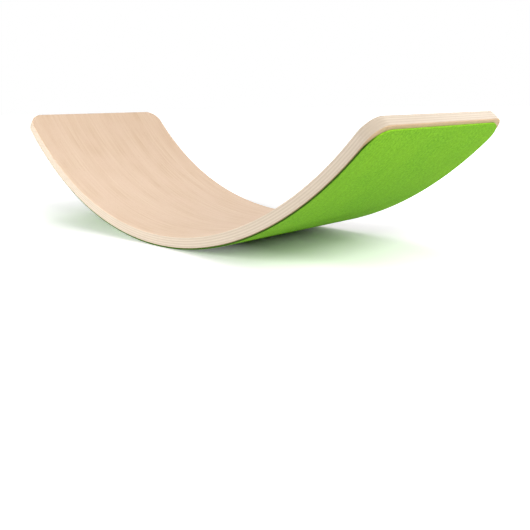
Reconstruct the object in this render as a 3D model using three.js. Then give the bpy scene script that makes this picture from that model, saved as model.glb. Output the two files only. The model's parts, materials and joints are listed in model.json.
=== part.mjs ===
// A curved wobble board: nine veneers glued and pressed to an arc, with a felt pad glued underneath.
// Units are millimetres. +X runs along the board, +Y across it and +Z up.
// The origin is the middle of the strip of felt that rests on the floor.

import * as THREE from 'three';

// Board outline, measured on the deck as if it were flat
const BOARD_WIDTH = 300;
const DECK_LENGTH = 918;
const CORNER_RADIUS = 27;

// Bend: the radius of the hollow side, which is the deck
const DECK_RADIUS = 540;

// Layers of wood, and the radius to which the board's rim is eased on both faces
const VENEER_COUNT = 9;
const VENEER_THICKNESS = 1.8;
const GLUE_LINE = 0.1;
const EDGE_EASING = 1.6;

// Felt pad, and the film of adhesive that holds it
const FELT_THICKNESS = 2.2;
const FELT_SIDE_MARGIN = 2;
const FELT_END_MARGIN = 6;
const FELT_CORNER_RADIUS = 32;
const FELT_EASING = 0.6;
const FILM_THICKNESS = 0.2;
const FILM_MARGIN_IN_FELT = 4;

// How finely curves are divided. An odd number of bend steps puts one flat strip at the very bottom.
const BEND_STEPS = 45;
const CORNER_STEPS = 6;
const EASING_STEPS = 2;

// The least part of a bend step that may lie between a step and a corner, and the least step in depth
const LEAST_PART_OF_STEP = 0.1;
const LEAST_DEPTH_STEP = 0.05;

// Finishes
const DECK_COLOUR = 0xeed3b8;
const LONG_GRAIN_COLOUR = 0xf0dcc4;
const CROSS_GRAIN_COLOUR = 0xdcbf9f;
const BACK_COLOUR = 0xc9a57e;
const FELT_COLOUR = 0x7fbe35;
const FILM_COLOUR = 0xe8e2c8;
const SANDED_WOOD_ROUGHNESS = 0.5;
const FELT_ROUGHNESS = 0.95;
const FILM_ROUGHNESS = 0.4;

const QUARTER_TURN = Math.PI / 2;

const deckHalfLength = DECK_LENGTH / 2;
const boardHalfWidth = BOARD_WIDTH / 2;
const layerPitch = VENEER_THICKNESS + GLUE_LINE;
const woodThickness = VENEER_COUNT * layerPitch - GLUE_LINE;
const filmDepth = woodThickness + GLUE_LINE;
const feltDepth = filmDepth + FILM_THICKNESS + GLUE_LINE;
const undersideDepth = feltDepth + FELT_THICKNESS;

// Every layer is bent over the same steps, so that the flat strips of all layers lie parallel.
const bendHalfLength = deckHalfLength - CORNER_RADIUS;
const bendStep = (2 * bendHalfLength) / BEND_STEPS;
const bendStepAngle = bendStep / DECK_RADIUS;
const archCentreHeight = (DECK_RADIUS + undersideDepth) * Math.cos(bendStepAngle / 2);

// A point of the bent board: along the deck's arc, across the board, and down through it from the deck.
function bentPoint(along, across, depth) {
  const angle = along / DECK_RADIUS;
  const radius = DECK_RADIUS + depth;
  const x = radius * Math.sin(angle);
  const z = archCentreHeight - radius * Math.cos(angle);
  return new THREE.Vector3(x, across, z);
}

// The cross sections that draw a layer's outline, from one end of the board to the other.
// The straight run takes the shared bend steps that fit in it, and each rounded corner has its own.
// A section gives its place along the board and its half width, for an outline drawn in by an inset.
function outlineSections(halfLength, halfWidth, cornerRadius) {
  const straightHalfLength = halfLength - cornerRadius;
  const sharedStepLimit = straightHalfLength - bendStep * LEAST_PART_OF_STEP;
  const places = [];
  for (let step = 0; step <= BEND_STEPS; step += 1) {
    const middle = -bendHalfLength + step * bendStep;
    if (Math.abs(middle) < sharedStepLimit) {
      places.push({ middle, turn: 0, end: 0 });
    }
  }
  for (let step = 0; step <= CORNER_STEPS; step += 1) {
    const turn = (step / CORNER_STEPS) * QUARTER_TURN;
    places.push({ middle: straightHalfLength, turn, end: 1 });
    places.unshift({ middle: -straightHalfLength, turn, end: -1 });
  }
  return places.map(({ middle, turn, end }) => (inset) => {
    const radius = cornerRadius - inset;
    return {
      along: middle + end * radius * Math.sin(turn),
      halfAcross: halfWidth - cornerRadius + radius * Math.cos(turn),
    };
  });
}

// How far a rim eased to a quarter round draws in, at a depth below the face that it softens
function easingInset(depth, easing) {
  const left = THREE.MathUtils.clamp(easing - depth, 0, easing);
  return easing - Math.sqrt(easing * easing - left * left);
}

// The depths below a face at which such a rim is drawn, from the face to where the side is straight
function easingDepths(easing) {
  const depths = [];
  for (let step = 0; step <= EASING_STEPS; step += 1) {
    const turn = (step / EASING_STEPS) * QUARTER_TURN;
    depths.push(easing * (1 - Math.cos(turn)));
  }
  return depths;
}

// One layer: a block of unit cells is wrapped onto the arc. Each level has a depth and an inset.
// The block is two units wide, so that its sides lie at one unit either way from the middle.
function bentLayer(sections, levels) {
  const lengthCells = sections.length - 1;
  const depthCells = levels.length - 1;
  const geometry = new THREE.BoxGeometry(lengthCells, 2, depthCells, lengthCells, 1, depthCells);
  const position = geometry.getAttribute('position');
  for (let index = 0; index < position.count; index += 1) {
    const section = sections[Math.round(position.getX(index) + lengthCells / 2)];
    const level = levels[Math.round(depthCells / 2 - position.getZ(index))];
    const { along, halfAcross } = section(level.inset);
    const point = bentPoint(along, position.getY(index) * halfAcross, level.depth);
    position.setXYZ(index, point.x, point.y, point.z);
  }
  geometry.computeVertexNormals();
  return geometry;
}

function finish(color, roughness) {
  return new THREE.MeshStandardMaterial({ color, roughness, metalness: 0 });
}

function namedMesh(name, geometry, material) {
  const mesh = new THREE.Mesh(geometry, material);
  mesh.name = name;
  return mesh;
}

// The veneers from the deck down: a face veneer on each side, and cross and long grain in turn between.
function veneerKind(layer) {
  if (layer === 0) {
    return { name: 'deck_veneer', colour: DECK_COLOUR };
  }
  if (layer === VENEER_COUNT - 1) {
    return { name: 'back_veneer', colour: BACK_COLOUR };
  }
  const pair = Math.ceil(layer / 2);
  if (layer % 2 === 1) {
    return { name: `crossband_veneer_${pair}`, colour: CROSS_GRAIN_COLOUR };
  }
  return { name: `core_veneer_${pair}`, colour: LONG_GRAIN_COLOUR };
}

// The levels that draw a veneer: its two faces, and the steps of the board's eased rim that cut it
function veneerLevels(layer) {
  const top = layer * layerPitch;
  const bottom = top + VENEER_THICKNESS;
  const rimDepths = easingDepths(EDGE_EASING);
  const rimDepthsBelow = rimDepths.map((depth) => woodThickness - depth).reverse();
  const between = [...rimDepths, ...rimDepthsBelow].filter(
    (depth) => depth > top + LEAST_DEPTH_STEP && depth < bottom - LEAST_DEPTH_STEP,
  );
  return [top, ...between, bottom].map((depth) => {
    const nearestFace = Math.min(depth, woodThickness - depth);
    return { depth, inset: easingInset(nearestFace, EDGE_EASING) };
  });
}

const board = new THREE.Group();

// Veneers
const woodSections = outlineSections(deckHalfLength, boardHalfWidth, CORNER_RADIUS);
for (let layer = 0; layer < VENEER_COUNT; layer += 1) {
  const { name, colour } = veneerKind(layer);
  const geometry = bentLayer(woodSections, veneerLevels(layer));
  board.add(namedMesh(name, geometry, finish(colour, SANDED_WOOD_ROUGHNESS)));
}

// Film of adhesive, which stays a little inside the felt's outline
const feltHalfLength = deckHalfLength - FELT_END_MARGIN;
const feltHalfWidth = boardHalfWidth - FELT_SIDE_MARGIN;
const feltSections = outlineSections(feltHalfLength, feltHalfWidth, FELT_CORNER_RADIUS);
const filmGeometry = bentLayer(feltSections, [
  { depth: filmDepth, inset: FILM_MARGIN_IN_FELT },
  { depth: filmDepth + FILM_THICKNESS, inset: FILM_MARGIN_IN_FELT },
]);
board.add(namedMesh('felt_glue_film', filmGeometry, finish(FILM_COLOUR, FILM_ROUGHNESS)));

// Felt pad, cut square against the wood and worn soft round the edge of its outer face
const feltLevels = easingDepths(FELT_EASING).map((rise) => {
  return { depth: undersideDepth - rise, inset: easingInset(rise, FELT_EASING) };
});
feltLevels.push({ depth: feltDepth, inset: 0 });
feltLevels.reverse();
const feltGeometry = bentLayer(feltSections, feltLevels);
board.add(namedMesh('felt_pad', feltGeometry, finish(FELT_COLOUR, FELT_ROUGHNESS)));

export default board;
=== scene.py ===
# %% [markdown]
# This lesson dresses a curved rocking board for children. The real board is thin veneers, glued
# and pressed over a round former, with a sheet of felt glued to its outer side. How many veneers
# it has is hard to read off the photograph, and nine are built here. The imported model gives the
# exact places and sizes, so it is loaded first and never moved.

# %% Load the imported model
import json
import math

import bmesh
import bpy
from mathutils import Matrix, Vector, noise


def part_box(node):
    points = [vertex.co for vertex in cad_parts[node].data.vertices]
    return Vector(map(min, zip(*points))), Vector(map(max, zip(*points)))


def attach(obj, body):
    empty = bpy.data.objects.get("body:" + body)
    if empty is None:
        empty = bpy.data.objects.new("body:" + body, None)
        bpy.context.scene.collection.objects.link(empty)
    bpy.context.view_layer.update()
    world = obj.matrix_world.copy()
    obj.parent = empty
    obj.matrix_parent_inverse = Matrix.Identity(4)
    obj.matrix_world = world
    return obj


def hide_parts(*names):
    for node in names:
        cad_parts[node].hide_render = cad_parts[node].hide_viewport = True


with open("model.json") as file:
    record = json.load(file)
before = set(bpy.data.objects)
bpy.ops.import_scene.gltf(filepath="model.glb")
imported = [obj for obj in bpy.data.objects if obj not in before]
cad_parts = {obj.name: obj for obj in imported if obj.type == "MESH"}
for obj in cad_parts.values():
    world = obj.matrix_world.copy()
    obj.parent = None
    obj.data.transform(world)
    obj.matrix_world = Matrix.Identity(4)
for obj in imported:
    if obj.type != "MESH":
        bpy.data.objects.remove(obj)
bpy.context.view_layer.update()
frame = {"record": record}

# %% [markdown]
# The maker of such a board draws it flat and bends it afterwards, and so does this script.
# Its sizes are the few that a maker would write on the drawing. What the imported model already
# tells, such as the height of the deck, is read from it, so that both agree.

# %% Sizes of the board
MM = 0.001

DECK_RADIUS = 540 * MM
DECK_LENGTH = 918 * MM
CORNER_RADIUS = 27 * MM
EDGE_EASING = 1.6 * MM
GLUE_SEAM = 0.02 * MM

FELT_SIDE_MARGIN = 2 * MM
FELT_END_MARGIN = 6 * MM
FELT_CORNER_RADIUS = 32 * MM
FELT_THICKNESS = 2.2 * MM
FILM_MARGIN_IN_FELT = 4 * MM

VENEER_NAMES = [
    "deck_veneer",
    "crossband_veneer_1",
    "core_veneer_1",
    "crossband_veneer_2",
    "core_veneer_2",
    "crossband_veneer_3",
    "core_veneer_3",
    "crossband_veneer_4",
    "back_veneer",
]

mounts = {mount["name"]: mount for mount in frame["record"]["mounts"]}
deck_height = mounts["deck_middle"]["pos_m"][2]
arc_centre_height = deck_height + DECK_RADIUS


def width_of(node):
    low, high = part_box(node)
    return high.y - low.y


def lower_face_depth(node):
    return deck_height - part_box(node)[0].z


board_width = width_of("core_veneer_2")
wood_thickness = lower_face_depth("back_veneer")
veneer_pitch = lower_face_depth("core_veneer_1") - lower_face_depth("crossband_veneer_1")
glue_line = len(VENEER_NAMES) * veneer_pitch - wood_thickness
film_underside_depth = lower_face_depth("felt_glue_film")
felt_underside_depth = deck_height
print("board width:", round(board_width / MM, 2), "mm, wood:", round(wood_thickness / MM, 2), "mm")
print("veneer pitch:", round(veneer_pitch / MM, 3), "mm")

# %% [markdown]
# The camera comes early, so that every later step can be looked at. It stands about where the
# photographer's did: in front of the raised end on the right, a little above the board's ends.
# A camera looks along its own -Z, so its three axes are set as the columns of a matrix.

# %% Camera
CAMERA_PLACE = Vector((0.8618, -0.7585, 0.2196))
CAMERA_AZIMUTH = math.radians(45.59)
CAMERA_ELEVATION = math.radians(13.63)
CAMERA_ROLL = math.radians(-1.01)

# Blender takes the lens and the sensor in millimetres, whatever the unit of the scene
CAMERA_LENS = 45.68
SENSOR_WIDTH = 36

scene = bpy.context.scene


def camera_axes(azimuth, elevation, roll):
    back = Vector(
        (
            math.sin(azimuth) * math.cos(elevation),
            -math.cos(azimuth) * math.cos(elevation),
            math.sin(elevation),
        )
    )
    level_right = Vector((math.cos(azimuth), math.sin(azimuth), 0))
    level_up = back.cross(level_right)
    right = math.cos(roll) * level_right + math.sin(roll) * level_up
    up = back.cross(right)
    return Matrix((right, up, back)).transposed()


camera_data = bpy.data.cameras.new("camera")
camera_data.lens = CAMERA_LENS
camera_data.sensor_width = SENSOR_WIDTH
camera = bpy.data.objects.new("camera", camera_data)
camera_turn = camera_axes(CAMERA_AZIMUTH, CAMERA_ELEVATION, CAMERA_ROLL)
camera.matrix_world = Matrix.Translation(CAMERA_PLACE) @ camera_turn.to_4x4()
scene.collection.objects.link(camera)
scene.camera = camera
print("camera at", [round(value, 3) for value in CAMERA_PLACE], "m")

# %% [markdown]
# A flat blank is a rectangle with rounded corners. It could be drawn as a curve and filled, but
# a cube with its four upright edges bevelled gives the same blank as a closed body at once.
# The blank lies with its upper face at a given depth below the deck, and Z points up.

# %% A flat blank with rounded corners
CORNER_SEGMENTS = 12

# Points this close in height count as level, and a face whose normal rises less than this
# counts as an upright side
LEVEL_WITHIN = 0.01 * MM
UPRIGHT_BELOW = 0.5


def flat_blank(length, width, corner_radius, top, thickness):
    bm = bmesh.new()
    bmesh.ops.create_cube(bm, size=1)
    bmesh.ops.scale(bm, vec=(length, width, thickness), verts=bm.verts)
    bmesh.ops.translate(bm, vec=(0, 0, -top - thickness / 2), verts=bm.verts)
    upright = [edge for edge in bm.edges if edge.verts[0].co.xy == edge.verts[1].co.xy]
    bmesh.ops.bevel(
        bm,
        geom=upright,
        offset=corner_radius,
        offset_type="OFFSET",
        affect="EDGES",
        segments=CORNER_SEGMENTS,
        profile=0.5,
        material=-1,
    )
    return bm


def rim_edges(bm, height):
    """The edges of the outline at one height, where an upright side meets a flat face."""
    return [
        edge
        for edge in bm.edges
        if all(abs(vert.co.z - height) < LEVEL_WITHIN for vert in edge.verts)
        and any(abs(face.normal.z) < UPRIGHT_BELOW for face in edge.link_faces)
    ]


def ease_rim(bm, height, easing, segments):
    bm.normal_update()
    bmesh.ops.bevel(
        bm,
        geom=rim_edges(bm, height),
        offset=easing,
        offset_type="OFFSET",
        affect="EDGES",
        segments=segments,
        profile=0.5,
        material=-1,
    )


# %% [markdown]
# The nine veneers share one eased rim, because such a board is sanded after it is glued.
# So the whole thickness is shaped as one blank, and each veneer is a slice of it. Two cutting
# planes take a slice out, and its open sides are closed with a flat face each.
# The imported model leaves 0.1 mm between veneers, which glue fills on the real board. Here each
# slice takes its share of that glue, so the seam is as thin as a real glue line looks.
# A narrow ring inset in each large flat face keeps the soft shading of the rim off the rest.

# %% Slice the blank into veneers
EASING_SEGMENTS = 4
SUPPORT_RING = 1 * MM

# A slice's two large faces lie flat and have many corners, the small faces of its rim have four
FLAT_ABOVE = 0.999
FEW_CORNERS = 8

board_blank = flat_blank(DECK_LENGTH, board_width, CORNER_RADIUS, 0, wood_thickness)
ease_rim(board_blank, 0, EDGE_EASING, EASING_SEGMENTS)
ease_rim(board_blank, -wood_thickness, EDGE_EASING, EASING_SEGMENTS)
print("eased blank:", len(board_blank.faces), "faces")


def everything(bm):
    return bm.verts[:] + bm.edges[:] + bm.faces[:]


def slice_of(blank, top, bottom):
    bm = blank.copy()
    bmesh.ops.bisect_plane(
        bm, geom=everything(bm), plane_co=(0, 0, -top), plane_no=(0, 0, 1), clear_outer=True
    )
    bmesh.ops.bisect_plane(
        bm, geom=everything(bm), plane_co=(0, 0, -bottom), plane_no=(0, 0, -1), clear_outer=True
    )
    open_edges = [edge for edge in bm.edges if edge.is_boundary]
    if open_edges:
        bmesh.ops.holes_fill(bm, edges=open_edges, sides=0)
    return bm


def ring_in_flat_faces(bm):
    bm.normal_update()
    flat_faces = [
        face
        for face in bm.faces
        if abs(face.normal.z) > FLAT_ABOVE and len(face.verts) > FEW_CORNERS
    ]
    for face in flat_faces:
        bmesh.ops.inset_region(bm, faces=[face], thickness=SUPPORT_RING, use_even_offset=True)


# %% [markdown]
# To bend a flat piece it first needs cuts across its length, where it can turn. Blender's bend
# modifier would do, but moving each point by the rule of the arc keeps the exact radius.
# Before the points move, each one keeps its flat place as an attribute, and each face keeps
# which way it faced. The finishes read both, so the grain follows the bend as real grain does.

# %% Cut a piece across and bend it
STATION_SPACING = 6 * MM


def cut_at_stations(bm, half_size, spacing, direction):
    count = math.floor(2 * half_size / spacing)
    step = 2 * half_size / count
    for index in range(1, count):
        place = Vector(direction) * (-half_size + index * step)
        bmesh.ops.bisect_plane(bm, geom=everything(bm), plane_co=place, plane_no=direction)


def bent_place(along, across, depth):
    angle = along / DECK_RADIUS
    radius = DECK_RADIUS + depth
    x = radius * math.sin(angle)
    z = arc_centre_height - radius * math.cos(angle)
    return Vector((x, across, z))


def bend(bm):
    bm.normal_update()
    flat_place = bm.verts.layers.float_vector.new("flat_place")
    flat_normal = bm.faces.layers.float_vector.new("flat_normal")
    for face in bm.faces:
        face[flat_normal] = face.normal
    for vert in bm.verts:
        along, across, height = vert.co
        vert[flat_place] = (along, across, -height)
        vert.co = bent_place(along, across, -height)
        vert.co.z = max(vert.co.z, 0)


# %% [markdown]
# A finished piece stays at the origin with its place in its mesh. Its faces shade smoothly,
# except where two of them meet at more than a set angle, as at the square edge of a slice.

# %% Make an object of a finished mesh
SHARP_ANGLE = math.radians(40)


def make_piece(name, bm, replaced_node):
    bmesh.ops.recalc_face_normals(bm, faces=bm.faces)
    mesh = bpy.data.meshes.new(name)
    bm.to_mesh(mesh)
    bm.free()
    mesh.shade_smooth()
    mesh.set_sharp_from_angle(angle=SHARP_ANGLE)
    piece = bpy.data.objects.new(name, mesh)
    scene.collection.objects.link(piece)
    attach(piece, "root")
    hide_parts(replaced_node)
    triangles = sum(len(polygon.vertices) - 2 for polygon in mesh.polygons)
    print(f"{name}: {triangles} triangles")
    return piece


# %% [markdown]
# The two outer veneers show their faces, and all nine show their sides along the board's edge.
# The fibres of every second one are taken to run across the board, as in plywood, where this
# keeps the wood from splitting. The light and dark lines on the photograph's edge suggest it.
# So there are four finishes: one for each outer face, and one for each way that fibres run.

# %% Make the nine veneers
def slot_of_veneer(name):
    if name == "deck_veneer":
        return "deck_face_wood"
    if name == "back_veneer":
        return "back_face_wood"
    return "cross_grain_wood" if name.startswith("crossband") else "long_grain_wood"


veneers = {}
for layer, node in enumerate(VENEER_NAMES):
    top = layer * veneer_pitch
    bottom = min(top + veneer_pitch - GLUE_SEAM, wood_thickness)
    veneer = slice_of(board_blank, top, bottom)
    ring_in_flat_faces(veneer)
    cut_at_stations(veneer, DECK_LENGTH / 2, STATION_SPACING, (1, 0, 0))
    bend(veneer)
    veneers[node] = make_piece(f"bent_{node}", veneer, node)
board_blank.free()

# %% [markdown]
# The felt is a sheet with larger corners than the wood, glued on a little inside its outline.
# Needled felt is never quite flat: the needles leave soft dimples. Its outer face gets a fine
# net of cuts both ways, and a smooth noise moves the points in by up to about a tenth of a
# millimetre. Where the board rests on the floor the felt is pressed flat.

# %% Make the felt and its film of adhesive
FELT_EASING = 0.6 * MM
FELT_EASING_SEGMENTS = 3
FELT_SPACING = 5 * MM
DIMPLE_SIZE = 14 * MM
DIMPLE_DEPTH = 0.12 * MM

felt_length = DECK_LENGTH - 2 * FELT_END_MARGIN
felt_width = board_width - 2 * FELT_SIDE_MARGIN
felt_top_depth = felt_underside_depth - FELT_THICKNESS


def dimple(vert):
    """Moves a point of the felt's outer face in by a smooth noise, up to the full depth."""
    along, across, height = vert.co
    if height > -felt_underside_depth + LEVEL_WITHIN:
        return
    # The noise runs from about -1 to 1, and the share of the depth from 0 to 1
    lumps = noise.noise(Vector((along, across, 0)) / DIMPLE_SIZE)
    vert.co.z += DIMPLE_DEPTH * (0.5 + 0.5 * lumps)


felt = flat_blank(felt_length, felt_width, FELT_CORNER_RADIUS, felt_top_depth, FELT_THICKNESS)
ease_rim(felt, -felt_underside_depth, FELT_EASING, FELT_EASING_SEGMENTS)
cut_at_stations(felt, felt_length / 2, FELT_SPACING, (1, 0, 0))
cut_at_stations(felt, felt_width / 2, FELT_SPACING, (0, 1, 0))
for vert in felt.verts:
    dimple(vert)
bend(felt)
felt_pad = make_piece("bent_felt_pad", felt, "felt_pad")

film_thickness = film_underside_depth - wood_thickness - glue_line
film = flat_blank(
    felt_length - 2 * FILM_MARGIN_IN_FELT,
    felt_width - 2 * FILM_MARGIN_IN_FELT,
    FELT_CORNER_RADIUS - FILM_MARGIN_IN_FELT,
    film_underside_depth - film_thickness,
    film_thickness,
)
cut_at_stations(film, felt_length / 2, STATION_SPACING, (1, 0, 0))
bend(film)
glue_film = make_piece("bent_glue_film", film, "felt_glue_film")

# %% [markdown]
# The felt was cut flat before it was glued on. On the outside of the bend it is a little longer
# than the deck above it. Its flat length is bent by the deck's radius, as the veneers' is, so the
# bend lengthens it.

# %% [markdown]
# Every finish is a small network of nodes. One function turns the colour that a person picks,
# written as six hex digits, into the linear numbers that shaders take. Another adds a node: it
# sets the options and the inputs, links an input that is given as another node's output, and
# gives back one output for the next node. Inputs come in the node's own order, or by name.

# %% Helpers for the finishes
def linear(hex_colour):
    channels = [(hex_colour >> shift & 255) / 255 for shift in (16, 8, 0)]
    rgb = [c / 12.92 if c <= 0.04045 else ((c + 0.055) / 1.055) ** 2.4 for c in channels]
    return (*rgb, 1)


def add(tree, kind, inputs=(), output=0, **options):
    node = tree.nodes.new(kind)
    for name, value in options.items():
        setattr(node, name, value)
    given = inputs if isinstance(inputs, dict) else dict(enumerate(inputs))
    for socket, value in given.items():
        if isinstance(value, bpy.types.NodeSocket):
            tree.links.new(value, node.inputs[socket])
        else:
            node.inputs[socket].default_value = value
    return node.outputs[output] if node.outputs else None


def new_material(name):
    material = bpy.data.materials.new(name)
    material.use_nodes = True
    material.node_tree.nodes.clear()
    return material, material.node_tree


# The Mix node has a set of sockets for each kind of data, and those for colours are these
FACTOR, FIRST, SECOND, MIXED_COLOUR = 0, 6, 7, 2
WHITE = linear(0xFFFFFF)

# %% [markdown]
# The wood looks like birch. Its veneer, sanded and sealed with a clear matt varnish, is nearly
# even in colour. Peeling the log gives wide soft bands, finer streaks along the fibres and short
# dark pores. Seen on the end of its fibres it looks darker, because the cut tubes swallow light
# and varnish.
# One solid pattern serves every layer: it is stretched along the fibres, so a cut through it
# shows streaks on the sides and dots on the ends, as in real wood.

# %% A pattern that follows the fibres
ALONG, ACROSS, UPRIGHT = 0, 1, 2
FINE_GRAIN_SHARE = 0.6

# Half a veneer, so that the streaks of neighbouring veneers differ
LAYER_CHANGE = 0.9 * MM


def fibre_noise(tree, fibre_axis, width, longer_by, detail):
    """Noise of a given width that runs longer along the fibres and changes from layer to layer."""
    scale = [1 / width, 1 / width, 1 / LAYER_CHANGE]
    scale[fibre_axis] /= longer_by
    place = add(tree, "ShaderNodeAttribute", (), "Vector", attribute_name="flat_place")
    stretched = add(tree, "ShaderNodeMapping", {"Vector": place, "Scale": scale})
    sockets = {
        "Vector": stretched,
        "Scale": 1,
        "Detail": detail,
        "Roughness": FINE_GRAIN_SHARE,
    }
    return add(tree, "ShaderNodeTexNoise", sockets)


# %% [markdown]
# The varnished face colour stays on what faces up or down. The rim and the sides were sanded
# after gluing, so they are as pale as the plies. A colour's pattern is worked out once, and
# used for the face's colours and for the side's.

# %% Sanded birch veneer
BAND_WIDTH = 24 * MM
STREAK_WIDTH = 3.5 * MM
PORE_WIDTH = 0.8 * MM
BLOTCH_SIZE = 45 * MM
GRAIN_RELIEF = 0.15 * MM

# The side's colours go over into the face's where the normal rises from the first to the second
RIM_TURN = 0.4
FACE_TURN = 0.8

# A ramp turns part of a pattern's range into a share of colour, or into the varnish's
# roughness: the start and end of that part, then the least and the most that comes out
BAND_RAMP = (0.3, 0.7, 0, 0.45)
STREAK_RAMP = (0.3, 0.7, 0, 0.55)
BLOTCH_RAMP = (0.35, 0.65, 0, 0.6)
PORE_RAMP = (0.58, 0.75, 0, 0.3)
END_RAMP = (0, 1, 0, 0.85)
VARNISH_RAMP = (0.3, 0.7, 0.5, 0.62)

# The colours of each finish: pale wood, deep wood, a flush between them, and end grain
DECK_COLOURS = (0xF2D8BE, 0xDCBB9A, 0xECCFB5, 0xD8B998)
# The back's colours carry painted shade: they are darker and browner than the deck's birch
SHADED_BACK_COLOURS = (0xDDBE9B, 0xCFAD86, 0xD6B692, 0xCBA880)
EDGE_COLOURS = (0xEADBC8, 0xDDCCB7, 0xE5D5C1, 0xD6C4AE)


def birch_pattern(tree, fibre_axis, on_end):
    bands = fibre_noise(tree, fibre_axis, BAND_WIDTH, longer_by=12, detail=2)
    streaks = fibre_noise(tree, fibre_axis, STREAK_WIDTH, longer_by=40, detail=3)
    pores = fibre_noise(tree, fibre_axis, PORE_WIDTH, longer_by=9, detail=1)
    blotches = fibre_noise(tree, fibre_axis, BLOTCH_SIZE, longer_by=1.5, detail=1)
    band_shade = add(tree, "ShaderNodeMapRange", (bands, *BAND_RAMP))
    streak_shade = add(tree, "ShaderNodeMapRange", (streaks, *STREAK_RAMP))
    return {
        "shade": add(tree, "ShaderNodeMath", (band_shade, streak_shade), operation="ADD"),
        "flush": add(tree, "ShaderNodeMapRange", (blotches, *BLOTCH_RAMP)),
        "pores": add(tree, "ShaderNodeMapRange", (pores, *PORE_RAMP)),
        "on_end": add(tree, "ShaderNodeMapRange", (on_end, *END_RAMP)),
        "gloss": add(tree, "ShaderNodeMapRange", (streaks, *VARNISH_RAMP)),
        "relief": add(tree, "ShaderNodeMath", (streaks, pores), operation="ADD"),
    }


def wood_colour(tree, pattern, colours):
    """Mixes a wood's four colours by its pattern, each layer of the pattern over the last."""
    colour, deep, flush, end_grain = [linear(value) for value in colours]
    layers = [
        ("shade", deep, "MIX"),
        ("flush", flush, "MIX"),
        ("pores", deep, "MULTIPLY"),
        ("on_end", end_grain, "MIX"),
    ]
    for part, second, blend in layers:
        sockets = {FACTOR: pattern[part], FIRST: colour, SECOND: second}
        colour = add(
            tree, "ShaderNodeMix", sockets, MIXED_COLOUR, data_type="RGBA", blend_type=blend
        )
    return colour


def birch(name, fibre_axis, face_colours):
    material, tree = new_material(name)
    normal = add(tree, "ShaderNodeAttribute", (), "Vector", attribute_name="flat_normal")
    facing_end = add(tree, "ShaderNodeSeparateXYZ", (normal,), fibre_axis)
    facing_up = add(tree, "ShaderNodeSeparateXYZ", (normal,), UPRIGHT)
    on_end = add(tree, "ShaderNodeMath", (facing_end,), operation="ABSOLUTE")
    on_face = add(tree, "ShaderNodeMath", (facing_up,), operation="ABSOLUTE")

    pattern = birch_pattern(tree, fibre_axis, on_end)
    sockets = {
        FACTOR: add(tree, "ShaderNodeMapRange", (on_face, RIM_TURN, FACE_TURN)),
        FIRST: wood_colour(tree, pattern, EDGE_COLOURS),
        SECOND: wood_colour(tree, pattern, face_colours),
    }
    colour = add(tree, "ShaderNodeMix", sockets, MIXED_COLOUR, data_type="RGBA")
    relief = {"Height": pattern["relief"], "Strength": 0.25, "Distance": GRAIN_RELIEF}
    varnished = {
        "Base Color": colour,
        "Roughness": pattern["gloss"],
        "IOR": 1.5,
        "Specular IOR Level": 0.35,
        "Normal": add(tree, "ShaderNodeBump", relief),
    }
    surface = add(tree, "ShaderNodeBsdfPrincipled", varnished)
    add(tree, "ShaderNodeOutputMaterial", {"Surface": surface})
    print(f"{name}: {len(tree.nodes)} nodes")
    return material


# %% [markdown]
# The two face veneers have their own varnished colours. The back is the same birch as the deck,
# drawn darker and browner with painted shade from the underside, where its rim shows round the
# felt. The plies show only their sanded sides.

# %% Give each veneer its finish
wood_finishes = {
    "deck_face_wood": birch("varnished_birch_deck", ALONG, DECK_COLOURS),
    "back_face_wood": birch("varnished_birch_back_painted_shade", ALONG, SHADED_BACK_COLOURS),
    "long_grain_wood": birch("sanded_birch_long_grain", ALONG, EDGE_COLOURS),
    "cross_grain_wood": birch("sanded_birch_crossband", ACROSS, EDGE_COLOURS),
}
for node, veneer in veneers.items():
    veneer.data.materials.append(wood_finishes[slot_of_veneer(node)])
print("wood finishes:", len(wood_finishes))

# %% [markdown]
# Needled felt is dyed wool or polyester fibre, punched with barbed needles until it holds
# together. It has no weave. Fine curved fibres lie every way, in soft clumps, and the loose
# ends on the surface catch the light at its edges, which the sheen of the shader gives.
# Fibres are 0.03 mm thick, too fine to show, so they are drawn half a millimetre thick.
# Carding laid most fibres along the roll, which leaves faint streaks along the pad.
# A thin dark line runs along the pad's long sides, which lie in shade under the wood's rim. That
# shade is painted here: those cut sides are simply drawn in a darker green. What makes it there
# isn't known, perhaps glue or shade, and here those cut sides are simply drawn in a darker
# green.

# %% The pattern of needled felt
FIBRE_WIDTH = 0.5 * MM
FIBRE_LONGER_BY = 8
FIBRE_ANGLES = (10, 70, 130)
DRAFT_WIDTH = 3 * MM
DRAFT_ANGLE = 8
CLUMP_SIZE = 3.2 * MM
CLOUD_SIZE = 60 * MM
FIBRE_BEND = 0.6


def fibres_at(tree, angle, width):
    place = add(tree, "ShaderNodeAttribute", (), "Vector", attribute_name="flat_place")
    sockets = {
        "Vector": place,
        "Rotation": (0, 0, math.radians(angle)),
        "Scale": (1 / width / FIBRE_LONGER_BY, 1 / width, 1 / width),
    }
    turned = add(tree, "ShaderNodeMapping", sockets)
    sockets = {"Vector": turned, "Scale": 1, "Detail": 2, "Distortion": FIBRE_BEND}
    return add(tree, "ShaderNodeTexNoise", sockets)


def lumps_of(tree, size, detail):
    place = add(tree, "ShaderNodeAttribute", (), "Vector", attribute_name="flat_place")
    sockets = {"Vector": place, "Scale": 1 / size, "Detail": detail}
    return add(tree, "ShaderNodeTexNoise", sockets)


# %% [markdown]
# The deep green of the gaps between fibres is the base. The fibres and clumps that stand up are
# paler, wide clouds and the carding's streaks change the green a little, and the long sides get
# painted shade.

# %% Needled felt
FUZZ_DEPTH = 0.4 * MM
FIBRE_RAMP = (0.5, 0.72, 0, 0.5)
CLUMP_RAMP = (0.35, 0.65, 0, 0.5)
CLOUD_RAMP = (0.35, 0.65, 0, 0.4)
DRAFT_RAMP = (0.4, 0.6, 0, 0.3)
SIDE_SHADE_RAMP = (0.6, 0.95, 0, 1)

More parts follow.
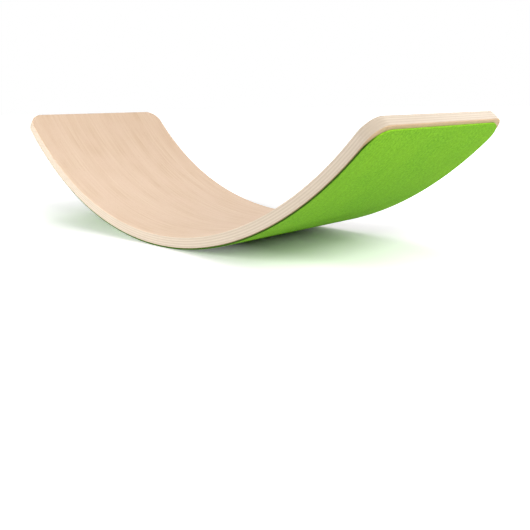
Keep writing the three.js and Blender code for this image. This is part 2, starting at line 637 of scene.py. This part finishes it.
DEEP_GREEN = linear(0x70B61A)
PALE_GREEN = linear(0xAAEA3E)
CLOUD_GREEN = linear(0x9CDA30)
DRAFT_GREEN = linear(0x70B81E)
# Painted shade: the pad's long cut sides, under the wood's rim, are drawn in this darker green
SIDE_SHADE_GREEN = linear(0x3E6414)
FUZZ_GREEN = linear(0xD6F5A0)


def needled_felt():
    material, tree = new_material("needled_green_felt")
    fibres = fibres_at(tree, FIBRE_ANGLES[0], FIBRE_WIDTH)
    for angle in FIBRE_ANGLES[1:]:
        crossing = fibres_at(tree, angle, FIBRE_WIDTH)
        fibres = add(tree, "ShaderNodeMath", (fibres, crossing), operation="MAXIMUM")
    fibre_depth = add(tree, "ShaderNodeMapRange", (fibres, *FIBRE_RAMP))
    clumps = lumps_of(tree, CLUMP_SIZE, 2)
    clump_depth = add(tree, "ShaderNodeMapRange", (clumps, *CLUMP_RAMP))
    depth = add(tree, "ShaderNodeMath", (fibre_depth, clump_depth), operation="ADD")

    clouds = lumps_of(tree, CLOUD_SIZE, 1)
    draft = fibres_at(tree, DRAFT_ANGLE, DRAFT_WIDTH)
    normal = add(tree, "ShaderNodeAttribute", (), "Vector", attribute_name="flat_normal")
    sideways = add(tree, "ShaderNodeSeparateXYZ", (normal,), ACROSS)
    shade_on_side = add(tree, "ShaderNodeMath", (sideways,), operation="ABSOLUTE")
    colour = DEEP_GREEN
    layers = [
        (depth, PALE_GREEN),
        (add(tree, "ShaderNodeMapRange", (clouds, *CLOUD_RAMP)), CLOUD_GREEN),
        (add(tree, "ShaderNodeMapRange", (draft, *DRAFT_RAMP)), DRAFT_GREEN),
        # Painted shade darkens the long cut sides
        (add(tree, "ShaderNodeMapRange", (shade_on_side, *SIDE_SHADE_RAMP)), SIDE_SHADE_GREEN),
    ]
    for factor, second in layers:
        sockets = {FACTOR: factor, FIRST: colour, SECOND: second}
        colour = add(tree, "ShaderNodeMix", sockets, MIXED_COLOUR, data_type="RGBA")

    fuzz = {"Height": depth, "Strength": 0.6, "Distance": FUZZ_DEPTH}
    fuzzy = {
        "Base Color": colour,
        "Roughness": 0.95,
        "IOR": 1.45,
        "Specular IOR Level": 0.2,
        "Sheen Weight": 0.08,
        "Sheen Roughness": 0.5,
        "Sheen Tint": FUZZ_GREEN,
        "Normal": add(tree, "ShaderNodeBump", fuzz),
    }
    surface = add(tree, "ShaderNodeBsdfPrincipled", fuzzy)
    add(tree, "ShaderNodeOutputMaterial", {"Surface": surface})
    print("felt finish:", len(tree.nodes), "nodes")
    return material


felt_pad.data.materials.append(needled_felt())

# %% [markdown]
# The felt is taken to be held by contact adhesive, which dries to a thin, slightly milky film,
# with ridges from the notched spreader. It lies wholly between felt and wood, so it is seen only
# where the parts are pulled apart.
# The wave pattern repeats every 0.314 units at a scale of one, so its scale comes from that.

# %% Contact adhesive
RIDGE_SPACING = 3 * MM
RIDGE_HEIGHT = 0.1 * MM
RIDGE_WANDER = 1.5
WAVE_LENGTH = 0.314
THIN_FILM_COLOUR = linear(0xE2DABC)
RIDGE_COLOUR = linear(0xEEE8D2)


def contact_adhesive():
    material, tree = new_material("dried_contact_adhesive")
    place = add(tree, "ShaderNodeAttribute", (), "Vector", attribute_name="flat_place")
    sockets = {
        "Vector": place,
        "Scale": WAVE_LENGTH / RIDGE_SPACING,
        "Distortion": RIDGE_WANDER,
    }
    ridges = add(tree, "ShaderNodeTexWave", sockets, "Fac")
    sockets = {FACTOR: ridges, FIRST: THIN_FILM_COLOUR, SECOND: RIDGE_COLOUR}
    relief = {"Height": ridges, "Strength": 0.5, "Distance": RIDGE_HEIGHT}
    dried = {
        "Base Color": add(tree, "ShaderNodeMix", sockets, MIXED_COLOUR, data_type="RGBA"),
        "Roughness": 0.4,
        "IOR": 1.52,
        "Normal": add(tree, "ShaderNodeBump", relief),
    }
    surface = add(tree, "ShaderNodeBsdfPrincipled", dried)
    add(tree, "ShaderNodeOutputMaterial", {"Surface": surface})
    print("adhesive finish:", len(tree.nodes), "nodes")
    return material


glue_film.data.materials.append(contact_adhesive())

# %% [markdown]
# The photograph looks as if it was taken on a white sweep of paper under large soft lamps. A
# flat floor with the board's shadow on it does the same here. Only the camera, mirror-like
# surfaces and clear ones see the paper quite white. It throws less light back on the board,
# which keeps the colours plain. To the same rays the paper also glows a little, where the
# photograph's is brighter than these lamps make it. The board gets none of that glow, apart
# from what its surfaces mirror.

# %% Floor
# In metres, so that the floor reaches far past the board on every side
FLOOR_SIDE = 30

floor_bm = bmesh.new()
bmesh.ops.create_grid(floor_bm, x_segments=1, y_segments=1, size=FLOOR_SIDE / 2)
floor_mesh = bpy.data.meshes.new("floor")
floor_bm.to_mesh(floor_mesh)
floor_bm.free()
floor = bpy.data.objects.new("floor", floor_mesh)
scene.collection.objects.link(floor)
print("floor:", FLOOR_SIDE, "m wide")

# %% White paper
PAPER_COLOUR = linear(0xE1E1E1)

# Each glow rises from one place to another, in metres, from no strength to the last number.
# The glows on the right, in front and behind are painted light: they thin the board's shadow on
# the paper near it. The far glow keeps the distant paper white.
RIGHT_GLOW = (0.18, 0.4, 0, 0.4)
FRONT_GLOW = (-0.04, -0.16, 0, 0.3)
BACK_GLOW = (0.08, 0.35, 0, 0.35)
FAR_GLOW = (0.38, 0.9, 0, 1)


def seen_directly(tree):
    """1 for the rays of the camera and of reflections and clear glass, 0 for light."""
    seen = add(tree, "ShaderNodeLightPath", (), "Is Camera Ray")
    for ray in ("Is Glossy Ray", "Is Transmission Ray"):
        other = add(tree, "ShaderNodeLightPath", (), ray)
        seen = add(tree, "ShaderNodeMath", (seen, other), operation="MAXIMUM")
    return seen


def white_paper():
    material, tree = new_material("white_paper")
    seen = seen_directly(tree)
    sockets = {FACTOR: seen, FIRST: PAPER_COLOUR, SECOND: WHITE}
    colour = add(tree, "ShaderNodeMix", sockets, MIXED_COLOUR, data_type="RGBA")
    paper = add(tree, "ShaderNodeBsdfDiffuse", {"Color": colour})

    place = add(tree, "ShaderNodeTexCoord", (), "Object")
    along = add(tree, "ShaderNodeSeparateXYZ", (place,), ALONG)
    across = add(tree, "ShaderNodeSeparateXYZ", (place,), ACROSS)
    distance = add(tree, "ShaderNodeVectorMath", (place,), "Value", operation="LENGTH")
    strength = add(tree, "ShaderNodeMapRange", (distance, *FAR_GLOW))
    for side, glow in ((along, RIGHT_GLOW), (across, FRONT_GLOW), (across, BACK_GLOW)):
        side_strength = add(tree, "ShaderNodeMapRange", (side, *glow))
        strength = add(tree, "ShaderNodeMath", (strength, side_strength), operation="ADD")
    strength = add(tree, "ShaderNodeMath", (strength, seen), operation="MULTIPLY")
    light = add(tree, "ShaderNodeEmission", {"Color": WHITE, "Strength": strength})
    sweep = add(tree, "ShaderNodeAddShader", (paper, light))
    add(tree, "ShaderNodeOutputMaterial", {"Surface": sweep})
    return material


floor.data.materials.append(white_paper())
print("paper finish:", len(floor.data.materials[0].node_tree.nodes), "nodes")

# %% [markdown]
# The world is plain white to the camera, so floor and background meet without a line, and gives
# the board only a little light. The rest comes from five square lamps with wide soft faces.
# The strongest stands on the right and reaches under the raised end. The one in front is small
# and near, and lights the long edge on the left more than on the right, as in the photograph.

# %% World
WORLD_STRENGTH = 0.06

world = bpy.data.worlds.new("studio")
world.use_nodes = True
world_tree = world.node_tree
world_tree.nodes.clear()
world_ramp = (seen_directly(world_tree), 0, 1, WORLD_STRENGTH, 1)
world_strength = add(world_tree, "ShaderNodeMapRange", world_ramp)
background = add(
    world_tree, "ShaderNodeBackground", {"Color": WHITE, "Strength": world_strength}
)
add(world_tree, "ShaderNodeOutputWorld", {"Surface": background})
scene.world = world
print("world light:", WORLD_STRENGTH)

# %% Soft lamps
BOARD_MIDDLE = (0, 0, 0.1)


def softbox(name, place, size, power):
    lamp_data = bpy.data.lights.new(name, "AREA")
    lamp_data.shape = "SQUARE"
    lamp_data.size = size
    lamp_data.energy = power
    lamp = bpy.data.objects.new(name, lamp_data)
    lamp.location = place
    lamp.rotation_mode = "QUATERNION"
    towards_board = Vector(BOARD_MIDDLE) - Vector(place)
    lamp.rotation_quaternion = towards_board.to_track_quat("-Z", "Y")
    lamp.visible_camera = False
    scene.collection.objects.link(lamp)
    print(name, power, "W")


softbox("right_lamp", place=(1.9, 0.05, 1.15), size=1.3, power=36)
softbox("left_lamp", place=(-1.25, 0.8, 1.85), size=1.2, power=10.5)
softbox("front_lamp", place=(-0.3, -1, 0.37), size=0.5, power=8.4)
softbox("back_lamp", place=(0, 2, 1), size=1.2, power=11)
softbox("top_lamp", place=(-1, 0.2, 1.9), size=1.2, power=3.5)

scene.view_settings.view_transform = "Standard"
